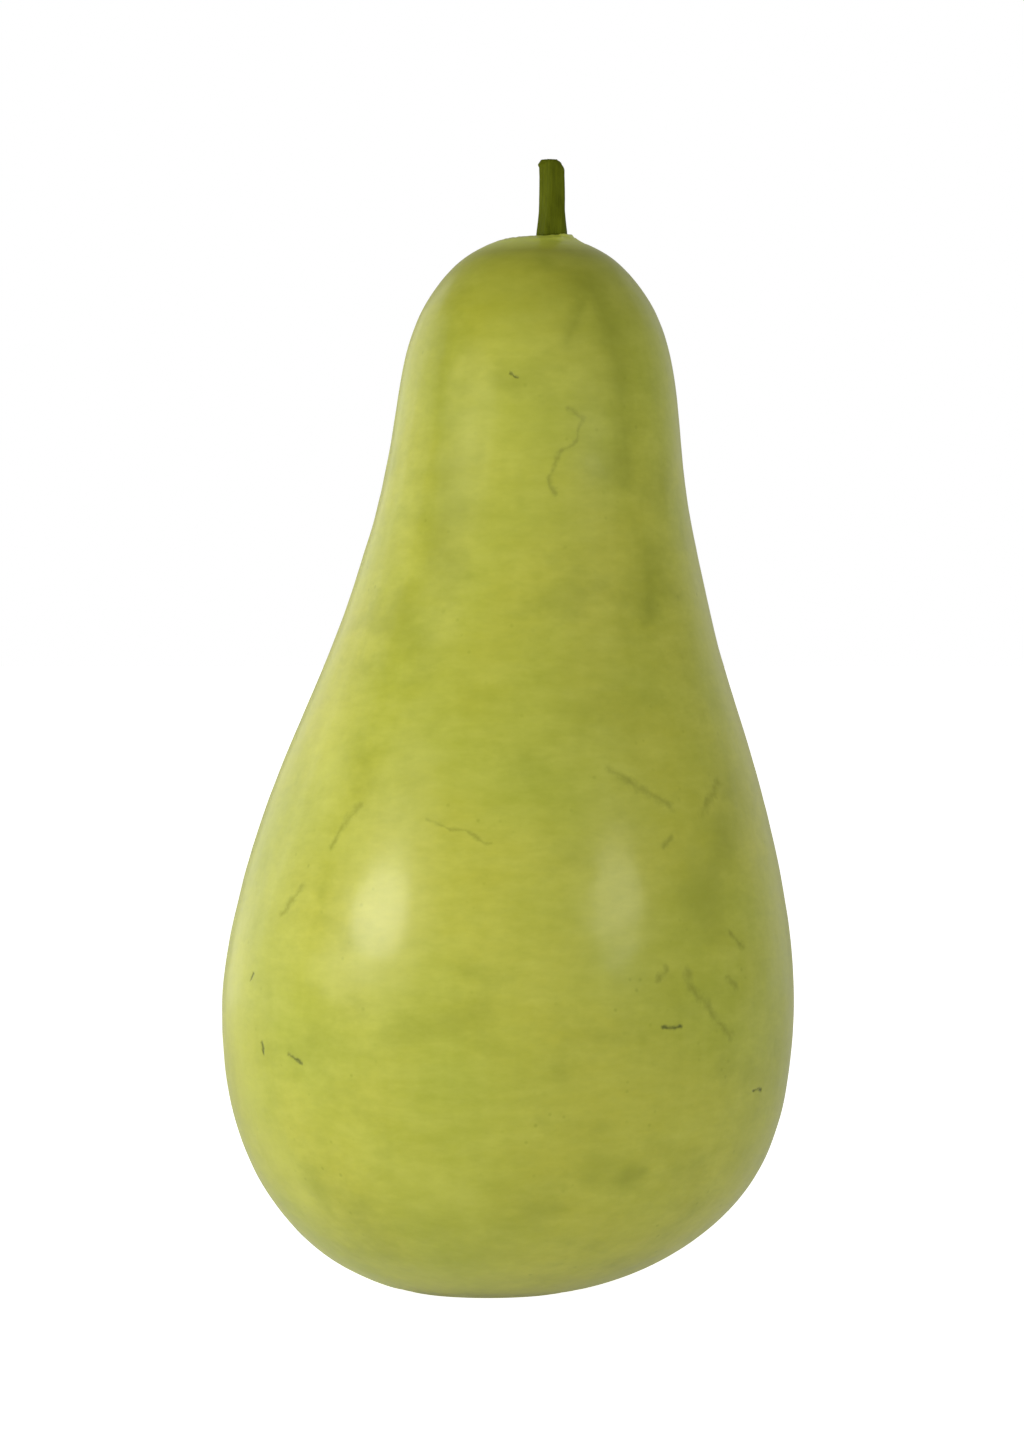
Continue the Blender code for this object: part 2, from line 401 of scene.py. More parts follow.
def moved_to_middle(tree, geometry, middle):
    """The body moved level, so that the middle of its box is over this point."""
    box = add_node(tree, "GeometryNodeBoundBox", {"Geometry": geometry})
    total = add_node(tree, "ShaderNodeVectorMath", [box.outputs["Min"], box.outputs["Max"]], operation="ADD")
    away = add_node(tree, "ShaderNodeVectorMath", [total, (-0.5, -0.5, -0.5)], operation="MULTIPLY")
    step = add_node(tree, "ShaderNodeVectorMath", [away, middle], operation="ADD")
    level = add_node(tree, "ShaderNodeVectorMath", [step, (1.0, 1.0, 0.0)], operation="MULTIPLY")
    return add_node(tree, "GeometryNodeSetPosition", {"Geometry": geometry, "Offset": level})


def dented(tree, geometry, given):
    """The rind pressed inwards by broad soft dents, and puckered round its two ends."""
    place = add_node(tree, "ShaderNodeSeparateXYZ", [add_node(tree, "GeometryNodeInputPosition")])
    height = place.outputs["Z"]
    from_top = add_node(tree, "ShaderNodeMath", [given["Height"], height], operation="SUBTRACT")
    above_foot = add_node(tree, "ShaderNodeMapRange", [height, *DENTS_FROM_GROUND, 0.0, 1.0])
    below_seat = add_node(tree, "ShaderNodeMapRange", [from_top, *DENTS_FROM_SEAT, 0.0, 1.0])
    held = add_node(tree, "ShaderNodeMath", [above_foot, below_seat], operation="MULTIPLY")
    deepest = add_node(tree, "ShaderNodeMath", [held, given["Dent Depth"]], operation="MULTIPLY")
    broad = noise_field(tree, given["Seed"], BROAD_DENT, 2.0, (0.5, 0.72))
    small = noise_field(tree, given["Seed"], SMALL_DENT, 2.0, (0.35, 0.8))
    mixed = add_node(tree, "ShaderNodeMath", [small, 0.45, broad], operation="MULTIPLY_ADD")
    dents = add_node(tree, "ShaderNodeMath", [mixed, deepest], operation="MULTIPLY")
    wrinkles = noise_field(tree, given["Seed"], WRINKLE, 3.0, (0.3, 0.7))
    off_ground = add_node(tree, "ShaderNodeMapRange", [height, *WRINKLES_FROM_GROUND, 0.0, 1.0])
    in_pit = add_node(tree, "ShaderNodeMath", [height, PIT_TOP], operation="LESS_THAN")
    at_foot = add_node(tree, "ShaderNodeMath", [off_ground, in_pit], operation="MULTIPLY")
    at_seat = add_node(tree, "ShaderNodeMapRange", [from_top, *WRINKLES_FROM_SEAT, 0.0, 1.0])
    ends = add_node(tree, "ShaderNodeMath", [at_foot, at_seat], operation="MAXIMUM")
    puckered = add_node(tree, "ShaderNodeMath", [ends, given["Pucker Depth"]], operation="MULTIPLY")
    depth = add_node(tree, "ShaderNodeMath", [wrinkles, puckered, dents], operation="MULTIPLY_ADD")
    inwards = add_node(tree, "ShaderNodeMath", [depth, -1.0], operation="MULTIPLY")
    normal = add_node(tree, "GeometryNodeInputNormal")
    push = add_node(tree, "ShaderNodeVectorMath", {"Vector": normal, "Scale": inwards}, operation="SCALE")
    return add_node(tree, "GeometryNodeSetPosition", {"Geometry": geometry, "Offset": push})


def stem_tree():
    """A turned stalk with ridges that wind a little, fine fibres, and a cut end that is rounded
    off on the side of +X and curls over on the other."""
    sizes = ("Base", "Length", "Bend", "Lean", "Ridge Count", "Ridge Share", "Ridge Turn", "Ridge Winding")
    details = ("Fibre Share", "Cut Slope", "Tear Depth")
    sockets = [(label, "NodeSocketFloat") for label in sizes + details]
    tree, given = start_tree("Grown stem", (*TURNED_SOCKETS, *sockets))
    grid, radius, height, turn = turned_grid(tree, given)
    rise = add_node(tree, "ShaderNodeMath", [height, given["Base"]], operation="SUBTRACT")
    share = add_node(tree, "ShaderNodeMath", [rise, given["Length"]], operation="DIVIDE", use_clamp=True)
    winding, first = given["Ridge Winding"], given["Ridge Turn"]
    wound = add_node(tree, "ShaderNodeMath", [share, winding, first], operation="MULTIPLY_ADD")
    from_ridge = add_node(tree, "ShaderNodeMath", [turn, wound], operation="SUBTRACT")
    phase = add_node(tree, "ShaderNodeMath", [from_ridge, given["Ridge Count"]], operation="MULTIPLY")
    wave = add_node(tree, "ShaderNodeMath", [phase], operation="COSINE")
    doubled = add_node(tree, "ShaderNodeMath", [phase, 2.0], operation="MULTIPLY")
    crest = add_node(tree, "ShaderNodeMath", [doubled], operation="COSINE")
    sharp = add_node(tree, "ShaderNodeMath", [crest, 0.22, wave], operation="MULTIPLY_ADD")
    ridges = add_node(tree, "ShaderNodeMath", [sharp, given["Ridge Share"], 1.0], operation="MULTIPLY_ADD")
    finer = add_node(tree, "ShaderNodeMath", [phase, 7.0], operation="MULTIPLY")
    fibre = add_node(tree, "ShaderNodeMath", [finer], operation="COSINE")
    swell = add_node(tree, "ShaderNodeMath", [fibre, given["Fibre Share"], ridges], operation="MULTIPLY_ADD")
    # The curled lip on the side of -X, a millimetre and a half below the cut
    cosine = add_node(tree, "ShaderNodeMath", [turn], operation="COSINE")
    lip_side = add_node(tree, "ShaderNodeMapRange", [cosine, -0.55, -0.95, 0.0, LIP_HEIGHT])
    from_lip = add_node(tree, "ShaderNodeMath", [share, LIP_MIDDLE], operation="SUBTRACT")
    lip_away = add_node(tree, "ShaderNodeMath", [from_lip], operation="ABSOLUTE")
    lip_range = [lip_away, LIP_REACH, 0.0, 0.0, lip_side]
    lip = add_node(tree, "ShaderNodeMapRange", lip_range, interpolation_type="SMOOTHSTEP")
    lipped = add_node(tree, "ShaderNodeMath", [swell, lip], operation="ADD")
    angled = add_node(tree, "ShaderNodeMath", [radius, lipped], operation="MULTIPLY")
    arc = add_node(tree, "ShaderNodeMath", [share, math.pi], operation="MULTIPLY")
    bow = add_node(tree, "ShaderNodeMath", [arc], operation="SINE")
    leaning = add_node(tree, "ShaderNodeMath", [share, given["Lean"]], operation="MULTIPLY")
    bend = add_node(tree, "ShaderNodeMath", [bow, given["Bend"], leaning], operation="MULTIPLY_ADD")
    # The cut end falls away towards +X
    out = add_node(tree, "ShaderNodeMath", [radius, cosine], operation="MULTIPLY")
    slope_range = [out, *CUT_SLOPE_ACROSS, 0.0, given["Cut Slope"]]
    falls = add_node(tree, "ShaderNodeMapRange", slope_range, interpolation_type="SMOOTHSTEP")
    near_end = add_node(tree, "ShaderNodeMapRange", [share, *TORN_END, 0.0, 1.0])
    torn = noise_field(tree, given["Seed"], TEAR, 4.0, (0.3, 0.7))
    drop = add_node(tree, "ShaderNodeMath", [torn, given["Tear Depth"], falls], operation="MULTIPLY_ADD")
    lowered = add_node(tree, "ShaderNodeMath", [drop, near_end], operation="MULTIPLY")
    cut = add_node(tree, "ShaderNodeMath", [height, lowered], operation="SUBTRACT")
    body = rolled_up(tree, grid, angled, cut, turn, 1.0, bend)
    # The lip counts as a ridge, so that it is as pale as one
    edges = add_node(tree, "ShaderNodeMath", [lip, LIP_PALENESS, wave], operation="MULTIPLY_ADD")
    end_face = add_node(tree, "ShaderNodeMapRange", [share, *CUT_FACE, 0.0, 1.0])
    for label, mask in (("ridge", edges), ("cut", end_face)):
        body = add_node(
            tree,
            "GeometryNodeStoreNamedAttribute",
            {"Geometry": body, "Name": label, "Value": mask},
            data_type="FLOAT",
            domain="POINT",
        )
    moved = add_node(tree, "GeometryNodeSetPosition", {"Geometry": body, "Offset": given["Middle"]})
    finish_tree(tree, given, moved)
    return tree


def grown_piece(name, knots, tree, shape, values):
    """The plain mesh object that a tree makes of an outline. An input of the tree takes the value
    given for it, or else the size of the same name."""
    curve = outline_curve(name + " outline", knots)
    outline = bpy.data.objects.new(name + " outline", curve)
    bpy.context.scene.collection.objects.link(outline)
    modifier = outline.modifiers.new(name, "NODES")
    modifier.node_group = tree
    for item in tree.interface.items_tree:
        size = item.name.lower().replace(" ", "_")
        if item.name in values:
            modifier[item.identifier] = values[item.name]
        elif hasattr(shape, size):
            modifier[item.identifier] = getattr(shape, size)
    graph = bpy.context.evaluated_depsgraph_get()
    mesh = bpy.data.meshes.new_from_object(outline.evaluated_get(graph))
    if not mesh.polygons:
        raise RuntimeError(f"{name} came out without faces")
    mesh.name = name
    bpy.data.objects.remove(outline)
    bpy.data.curves.remove(curve)
    piece = bpy.data.objects.new(name, mesh)
    bpy.context.scene.collection.objects.link(piece)
    return piece


def middle_of(box):
    low, high = box
    return Vector(((low[0] + high[0]) / 2, (low[1] + high[1]) / 2, 0.0))


# Materials


def start_material(name):
    """An empty material. Gives it, its tree and its object coordinates."""
    material = bpy.data.materials.new(name)
    material.use_nodes = True
    tree = material.node_tree
    tree.nodes.clear()
    return material, tree, add_node(tree, "ShaderNodeTexCoord").outputs["Object"]


def finish_material(tree, inputs):
    """The shader, with these inputs, and the output."""
    shader = add_node(tree, "ShaderNodeBsdfPrincipled", inputs)
    add_node(tree, "ShaderNodeOutputMaterial", {"Surface": shader})


def pattern(tree, place, feature, stretch=(1.0, 1.0, 1.0), detail=3.0, edges=(0.35, 0.65)):
    """A random pattern, 0 to 1: blotches about one feature across, squeezed by the stretch."""
    mapped = add_node(tree, "ShaderNodeMapping", {"Vector": place, "Scale": stretch})
    look = {"Vector": mapped, "Scale": 1.0 / feature, "Detail": detail, "Roughness": 0.58}
    noise = add_node(tree, "ShaderNodeTexNoise", look)
    return add_node(tree, "ShaderNodeMapRange", [noise, *edges, 0.0, 1.0])


def layered(tree, colour, layers):
    """The colour with each layer laid over it in turn: a mask, the share it hides where the mask
    is 1, and its tint."""
    colour = (*colour, 1.0)
    for mask, share, tint in layers:
        hidden = add_node(tree, "ShaderNodeMath", [mask, share], operation="MULTIPLY")
        inputs = {"Factor": hidden, "A": colour, "B": (*tint, 1.0)}
        colour = add_node(tree, "ShaderNodeMix", inputs, data_type="RGBA")
    return next(socket for socket in colour.outputs if socket.enabled)


def stroke_group():
    """How far a point is from a straight mark, in half widths of the mark. Distance along the
    surface's normal counts for a tenth, so a mark also shows in a dent."""
    tree = bpy.data.node_groups.new("Mark stroke", "ShaderNodeTree")
    for label in ("Point", "Middle", "Turn", "Half Width", "Half Length"):
        tree.interface.new_socket(label, in_out="INPUT", socket_type="NodeSocketVector")
    tree.interface.new_socket("Distance", in_out="OUTPUT", socket_type="NodeSocketFloat")
    given = add_node(tree, "NodeGroupInput").outputs
    beside = add_node(
        tree,
        "ShaderNodeMapping",
        {
            "Vector": given["Point"],
            "Location": given["Middle"],
            "Rotation": given["Turn"],
            "Scale": given["Half Width"],
        },
        vector_type="TEXTURE",
    )
    away = add_node(tree, "ShaderNodeVectorMath", [beside], operation="ABSOLUTE")
    past = add_node(tree, "ShaderNodeVectorMath", [away, given["Half Length"]], operation="SUBTRACT")
    outside = add_node(tree, "ShaderNodeVectorMath", [past, (0.0, 0.0, 0.0)], operation="MAXIMUM")
    distance = add_node(tree, "ShaderNodeVectorMath", [outside], operation="LENGTH")
    add_node(tree, "NodeGroupOutput", [distance.outputs["Value"]])
    return tree


class RindSurface:
    """Where a spot of the rind lies, given by its angle round from the front and its height."""

    def __init__(self, shape):
        self.shape = shape
        knots = [anchor_knot(anchor, shape) for anchor in FRUIT_OUTLINE]
        self.points = []
        for (start, _, leave), (end, arrive, _) in zip(knots, knots[1:]):
            self.points += interpolate_bezier(start, leave, arrive, end, 24)

    def radius_at(self, height):
        for upper, lower in zip(self.points, self.points[1:]):
            if upper.z > lower.z and upper.z >= height >= lower.z:
                share = (upper.z - height) / (upper.z - lower.z)
                return upper.x + (lower.x - upper.x) * share
        raise ValueError(f"no rind at a height of {height} m")

    def spot(self, degrees, height_mm):
        height = height_mm * MM
        turn = math.radians(degrees - 90)
        share = (height / self.shape.height - LEAN_START) / (LEAN_END - LEAN_START)
        share = min(max(share, 0.0), 1.0)
        lean = self.shape.neck_lean * share * share * (3 - 2 * share)
        radius = self.radius_at(height) * (1 + self.shape.lobe_share * math.sin(3 * turn))
        depth = radius * math.sin(turn) * self.shape.depth_share
        return Vector((radius * math.cos(turn) + lean, depth, height))

    def line(self, start, end):
        """The middle of the line between two spots, the turn that lays X along it and Z along the
        surface's normal, and its length."""
        degrees, height = (start[0] + end[0]) / 2, (start[1] + end[1]) / 2
        first, last = self.spot(*start), self.spot(*end)
        around = self.spot(degrees + 1, height) - self.spot(degrees - 1, height)
        up = self.spot(degrees, height + 1) - self.spot(degrees, height - 1)
        along = (last - first).normalized()
        side = around.cross(up).cross(along).normalized()
        turn = Matrix((along, side, along.cross(side))).transposed().to_euler()
        return (first + last) / 2, turn, (last - first).length


def all_marks(tree, place, group, surface, chains, ragged):
    """All of these marks together: 1 on a mark, 0 off it. Ragged is 0 to 1, and eats into them."""
    nearest = None
    for spots, half_width_mm in chains:
        width = half_width_mm * MM
        for start, end in zip(spots, spots[1:]):
            middle, turn, length = surface.line(start, end)
            stroke = add_node(tree, "ShaderNodeGroup")
            stroke.node_tree = group
            tree.links.new(place, stroke.inputs["Point"])
            stroke.inputs["Middle"].default_value = middle
            stroke.inputs["Turn"].default_value = turn
            stroke.inputs["Half Width"].default_value = (width, width, 10 * width)
            stroke.inputs["Half Length"].default_value = (length / 2 / width, 0.0, 0.0)
            if nearest is None:
                nearest = stroke
            else:
                nearest = add_node(tree, "ShaderNodeMath", [nearest, stroke], operation="MINIMUM")
    eaten = add_node(tree, "ShaderNodeMath", [ragged, MARK_RAGGED, nearest], operation="MULTIPLY_ADD")
    edge_range = [eaten, MARK_EDGE, 0.0, 0.0, 1.0]
    return add_node(tree, "ShaderNodeMapRange", edge_range, interpolation_type="SMOOTHSTEP")


def wandered(tree, place):
    """Coordinates that wander by about a millimetre, so that no mark runs quite straight."""
    look = {"Vector": place, "Scale": 1 / WANDER_LENGTH, "Detail": 4.0}
    noise = add_node(tree, "ShaderNodeTexNoise", look).outputs["Color"]
    centred = add_node(tree, "ShaderNodeVectorMath", [noise, (0.5, 0.5, 0.5)], operation="SUBTRACT")
    moved = [centred, (WANDER_REACH, WANDER_REACH, WANDER_REACH), place]
    return add_node(tree, "ShaderNodeVectorMath", moved, operation="MULTIPLY_ADD").outputs["Vector"]


def rind_material(colours, surface):
    """Fresh gourd rind: a thin natural wax over green skin. The wax gives clear soft highlights
    and a pale rim, and the skin under it is blotched in flat patches with a few healed scars.
    Painted shade darkens its shoulder and the left of its neck, and a painted reflection lightens
    the lower left of its belly."""
    material, tree, place = start_material("waxy gourd rind")
    top = surface.shape.height
    height = add_node(tree, "ShaderNodeSeparateXYZ", [place]).outputs["Z"]
    group = stroke_group()
    wander = wandered(tree, place)
    broken = pattern(tree, place, 2.2 * MM, edges=(0.35, 0.65))
    clouded = pattern(tree, place, 11 * MM, (1.0, 1.0, 1.5), 4.0, (0.3, 0.65))
    # Slow drifts of colour over 55 mm, blotches over 14 mm, mottling over 4 mm and bruises over
    # 26 mm, the last three wider than they are tall, and faint upright streaks 5 mm wide
    drift = pattern(tree, place, 55 * MM, detail=2.0)
    blotches = pattern(tree, place, 14 * MM, (1.0, 1.0, 2.6), 4.0, (0.36, 0.66))
    mottling = pattern(tree, place, 4.2 * MM, (1.0, 1.0, 2.2), 3.0, (0.3, 0.7))
    streaks = pattern(tree, place, 5 * MM, (1.0, 1.0, 0.05), 2.0, (0.4, 0.75))
    bruises = pattern(tree, place, 26 * MM, (1.0, 1.0, 1.4), 5.0, (0.54, 0.7))
    # Painted shade: the shoulder darkens towards the stem, as the top faces away from the lights
    shoulder_shade_range = [height, *(top * share for share in PAINTED_SHOULDER_SHADE), 0.0, 1.0]
    painted_top_shade = add_node(tree, "ShaderNodeMapRange", shoulder_shade_range, interpolation_type="SMOOTHSTEP")
    collar_range = [height, *(top - below for below in PALE_COLLAR), 0.0, 1.0]
    collar = add_node(tree, "ShaderNodeMapRange", collar_range)
    # The corky blossom scar and the rubbed skin round it
    blossom = (middle_of(FRUIT_BOX).x - surface.shape.foot_lean, middle_of(FRUIT_BOX).y, 0.0)
    away = add_node(tree, "ShaderNodeVectorMath", [place, blossom], operation="DISTANCE").outputs["Value"]
    rubbed = add_node(tree, "ShaderNodeMapRange", [away, *RUBBED_SKIN, 0.0, 1.0])
    cork = add_node(tree, "ShaderNodeMapRange", [away, *CORK, 0.0, 1.0])
    # Dark flecks about 1 mm across, in some areas only
    cells = add_node(tree, "ShaderNodeTexVoronoi", {"Vector": place, "Scale": 1 / (5 * MM)})
    fleck = add_node(tree, "ShaderNodeMapRange", [cells.outputs["Distance"], 0.14, 0.05, 0.0, 1.0])
    some = pattern(tree, place, 30 * MM, detail=2.0, edges=(0.48, 0.62))
    flecks = add_node(tree, "ShaderNodeMath", [fleck, some], operation="MULTIPLY")
    scratched = all_marks(tree, wander, group, surface, SCRATCHES, broken)
    nicked = all_marks(tree, wander, group, surface, NICKS, broken)
    colour = layered(
        tree,
        colours.rind_green,
        (
            (drift, 1.0, colours.rind_yellow),
            (blotches, 0.28, colours.rind_pale),
            (mottling, 0.2, colours.rind_dark),
            (streaks, 0.1, colours.rind_pale),
            (bruises, 0.35, colours.rind_dark),
            # The paler places, with the painted reflection on the lower left of the belly
            (all_marks(tree, place, group, surface, PALE_PLACES_AND_PAINTED_REFLECTION, clouded), 0.4, colours.rind_pale),
            # The darker places, with the painted shade on the left of the neck
            (all_marks(tree, place, group, surface, DARK_PLACES_AND_PAINTED_SHADE, clouded), 0.48, colours.rind_dark),
            # Painted shade on the top of the fruit
            (painted_top_shade, 0.25, colours.rind_dark),
            (collar, 1.0, colours.collar),
            (rubbed, 0.5, colours.rubbed),
            (cork, 0.9, colours.cork),
            (flecks, 0.4, colours.rind_dark),
            (scratched, 0.38, colours.scar),
            (all_marks(tree, wander, group, surface, VEINS, broken), 0.38, colours.scar),
            (nicked, 0.9, colours.nick),
        ),
    )
    # The wax is rubbed thinner in patches, and scars are dull
    worn = add_node(tree, "ShaderNodeMath", [blotches, 0.06, 0.38], operation="MULTIPLY_ADD")
    dull = add_node(tree, "ShaderNodeMath", [nicked, cork], operation="MAXIMUM")
    duller = add_node(tree, "ShaderNodeMath", [scratched, dull], operation="MAXIMUM")
    roughness = add_node(tree, "ShaderNodeMath", [duller, 0.25, worn], operation="MULTIPLY_ADD")
    # Waves of 0.05 mm over 6 mm, fine pores, and nicks cut 0.15 mm deep
    waves = pattern(tree, place, 6 * MM, detail=2.0, edges=(0.2, 0.8))
    pores = pattern(tree, place, 1.4 * MM, detail=2.0, edges=(0.2, 0.8))
    cut = add_node(tree, "ShaderNodeMath", [nicked, -0.15 * MM], operation="MULTIPLY")
    pitted = add_node(tree, "ShaderNodeMath", [pores, 0.008 * MM, cut], operation="MULTIPLY_ADD")
    relief = add_node(tree, "ShaderNodeMath", [waves, 0.05 * MM, pitted], operation="MULTIPLY_ADD")
    bump = add_node(tree, "ShaderNodeBump", {"Height": relief, "Distance": 1.0, "Strength": 1.0})
    finish_material(
        tree,
        {
            "Base Color": colour,
            "Roughness": roughness,
            "Normal": bump,
            "IOR": 1.45,
            "Specular IOR Level": 0.35,
            "Coat Weight": 0.35,
            "Coat Roughness": 0.18,
            "Subsurface Weight": 0.08,
            "Subsurface Radius": (1.0, 1.0, 0.3),
            "Subsurface Scale": 4 * MM,
        },
    )
    return material


def stem_material(colours):
    """Cut gourd stalk: green fibrous skin, dull, with paler ridges and a pale dried cut end."""
    material, tree, place = start_material("fibrous gourd stalk")
    # Fibres 0.7 mm apart that run up the stalk
    fibres = pattern(tree, place, 0.7 * MM, (1.0, 1.0, 0.08), 3.0, (0.3, 0.7))
    blotches = pattern(tree, place, 3 * MM, (1.0, 1.0, 0.5), 3.0)
    ridge = add_node(tree, "ShaderNodeAttribute", attribute_name="ridge").outputs["Fac"]
    crest = add_node(tree, "ShaderNodeMapRange", [ridge, 0.75, 1.0, 0.0, 1.0])
    cut = add_node(tree, "ShaderNodeAttribute", attribute_name="cut").outputs["Fac"]
    colour = layered(
        tree,
        colours.stem_dark,
        (
            (fibres, 1.0, colours.stem_green),
            (blotches, 0.2, colours.stem_pale),
            (crest, 0.75, colours.stem_pale),
            (cut, 0.9, colours.pith),
        ),
    )
    # Fibres stand 0.08 mm proud
    relief = add_node(tree, "ShaderNodeMath", [fibres, 0.08 * MM], operation="MULTIPLY")
    bump = add_node(tree, "ShaderNodeBump", {"Height": relief, "Distance": 1.0, "Strength": 1.0})
    dull = {"Roughness": 0.75, "Specular IOR Level": 0.1}
    finish_material(tree, {"Base Color": colour, "Normal": bump, **dull})
    return material


def table_material(stage):
    """White acrylic sheet, sanded dull and lit from below. It looks brighter than it lights."""
    material, tree, place = start_material("sanded white acrylic")
    grain = pattern(tree, place, 3 * MM, detail=2.0)
    tone = layered(tree, linear_colour("DDDDDA"), ((grain, 1.0, linear_colour("E1E1DE")),))
    seen = add_node(tree, "ShaderNodeLightPath").outputs["Is Camera Ray"]
    glow = add_node(tree, "ShaderNodeMapRange", [seen, 0.0, 1.0, stage.table_light, stage.table_glow])
    finish_material(
        tree,
        {
            "Base Color": tone,
            "Emission Color": (1.0, 1.0, 1.0, 1.0),
            "Emission Strength": glow,
            "Roughness": 0.9,
            "Specular IOR Level": 0.1,
        },
    )
    return material


# Studio


def studio_world(stage):
    """White to the camera. To the gourd it is a room, each of whose sides has its own brightness."""
    world = bpy.data.worlds.new("pale studio")
    bpy.context.scene.world = world
    world.use_nodes = True
    tree = world.node_tree
    tree.nodes.clear()
    way = add_node(tree, "ShaderNodeTexCoord").outputs["Generated"]
    ahead = add_node(tree, "ShaderNodeVectorMath", [way, (0.0, 0.0, 0.0)], operation="MAXIMUM")
    behind = add_node(tree, "ShaderNodeVectorMath", [way, (0.0, 0.0, 0.0)], operation="MINIMUM")
    sides = (
        (ahead, (stage.right_level, stage.back_level, stage.top_level)),
        (behind, (stage.left_level, stage.front_level, 0.0)),
    )
    parts = []
    for part, levels in sides:
        squared = add_node(tree, "ShaderNodeVectorMath", [part, part], operation="MULTIPLY")
        lit = add_node(tree, "ShaderNodeVectorMath", [squared, levels], operation="DOT_PRODUCT")
        parts.append(lit.outputs["Value"])
    level = add_node(tree, "ShaderNodeMath", parts, operation="ADD")
    room = add_node(tree, "ShaderNodeBackground", {"Color": (*stage.lamp_colour, 1.0), "Strength": level})
    white = add_node(tree, "ShaderNodeBackground", {"Color": (1.0, 1.0, 1.0, 1.0), "Strength": 1.0})
    seen = add_node(tree, "ShaderNodeLightPath").outputs["Is Camera Ray"]
    mixed = add_node(tree, "ShaderNodeMixShader", [seen, room, white])
    add_node(tree, "ShaderNodeOutputWorld", {"Surface": mixed})


def direction(azimuth, elevation):
    """From the gourd outwards: azimuth in degrees from the front towards +X."""
    around, up = math.radians(azimuth), math.radians(elevation)
    return Vector((math.sin(around) * math.cos(up), -math.cos(around) * math.cos(up), math.sin(up)))


def place_in_fruit(across, back, up):
    """The place at these shares of the fruit's half width, half depth and height."""
    size = Vector(FRUIT_BOX[1]) - Vector(FRUIT_BOX[0])
    return middle_of(FRUIT_BOX) + Vector((across * size.x / 2, back * size.y / 2, up * size.z))


def hang_softbox(box, radiance, tint):
    """An oval area light of this radiance, facing its target."""
    light = bpy.data.lights.new(box.name, "AREA")
    light.shape = "ELLIPSE"
    light.size = box.width
    light.size_y = box.height
    light.energy = radiance * math.pi * (math.pi / 4 * box.width * box.height)
    light.color = tint
    lamp = bpy.data.objects.new(box.name, light)
    target = place_in_fruit(*box.target)
    lamp.location = target + direction(box.azimuth, box.elevation) * box.distance
    lamp.rotation_euler = (target - lamp.location).to_track_quat("-Z", "Y").to_euler()
    lamp.visible_camera = False
    bpy.context.scene.collection.objects.link(lamp)


def studio_camera(stage, aim):
    camera = bpy.data.cameras.new("camera")
    camera.lens = stage.lens
    camera.dof.use_dof = False
    camera.clip_end = 50.0
    holder = bpy.data.objects.new("camera", camera)
    holder.location = aim + direction(0.0, stage.camera_elevation) * stage.camera_distance
    holder.rotation_euler = (aim - holder.location).to_track_quat("-Z", "Y").to_euler()
    bpy.context.scene.collection.objects.link(holder)
    bpy.context.scene.camera = holder


def studio_table(stage):
    """A wide flat floor, a hair under the gourd."""
    corners = [(-1.0, -1.0), (1.0, -1.0), (1.0, 1.0), (-1.0, 1.0)]
    mesh = bpy.data.meshes.new("table")
    reach = stage.table_reach
    mesh.from_pydata([(x * reach, y * reach, -0.05 * MM) for x, y in corners], [], [(0, 1, 2, 3)])
    mesh.materials.append(table_material(stage))
    table = bpy.data.objects.new("table", mesh)
    bpy.context.scene.collection.objects.link(table)


# Settings


def number_property(name, description, default, **rest):
    return bpy.props.FloatProperty(name=name, description=description, default=default, **rest)


def length_property(name, description, length):
    return number_property(name, description, length, unit="LENGTH")


def turn_property(name, description, degrees):
    return number_property(name, description, math.radians(degrees), subtype="ANGLE")


def level_property(name, description, level):
    return number_property(name, description, level, min=0.0)


def count_property(name, description, count):
    return bpy.props.IntProperty(name=name, description=description, default=count)


def colour_property(name, description, hex_colour):
    tint = linear_colour(hex_colour)
    return bpy.props.FloatVectorProperty(
        name=name, description=description, default=tint, subtype="COLOR", size=3, min=0.0, max=1.0
    )


class GourdFruitSettings(bpy.types.PropertyGroup):
    """Sizes of the fruit."""

    height: length_property("Height", "From the ground to the seat of the stem", FRUIT_BOX[1][2])
    belly_radius: length_property("Belly Radius", "Half the width of the belly", BELLY_RADIUS)
    neck_lean: length_property("Neck Lean", "How far the neck leans towards +X", 8 * MM)
    foot_lean: length_property("Foot Lean", "How far the rest spot lies towards -X", 5 * MM)
    seat_lean: length_property("Seat Lean", "How far the collar lies off the neck's middle", 3.6 * MM)
    depth_share: number_property("Depth Share", "Depth of the fruit as a share of its width", 0.985)
    lobe_share: number_property("Lobe Share", "Height of its three lobes as a share of the radius", 0.008)
    collar_step: length_property("Collar Step", "Height of the step round the collar", 0.55 * MM)
    dent_depth: length_property("Dent Depth", "Deepest of the broad soft dents", 0.4 * MM)
    pucker_depth: length_property("Pucker Depth", "Deepest of the wrinkles at the two ends", 0.3 * MM)
    segments: count_property("Segments", "Faces round the fruit", 288)
    rings: count_property("Rings", "Faces along its outline", 300)
    seed: number_property("Seed", "Picks the dents", 3.0)


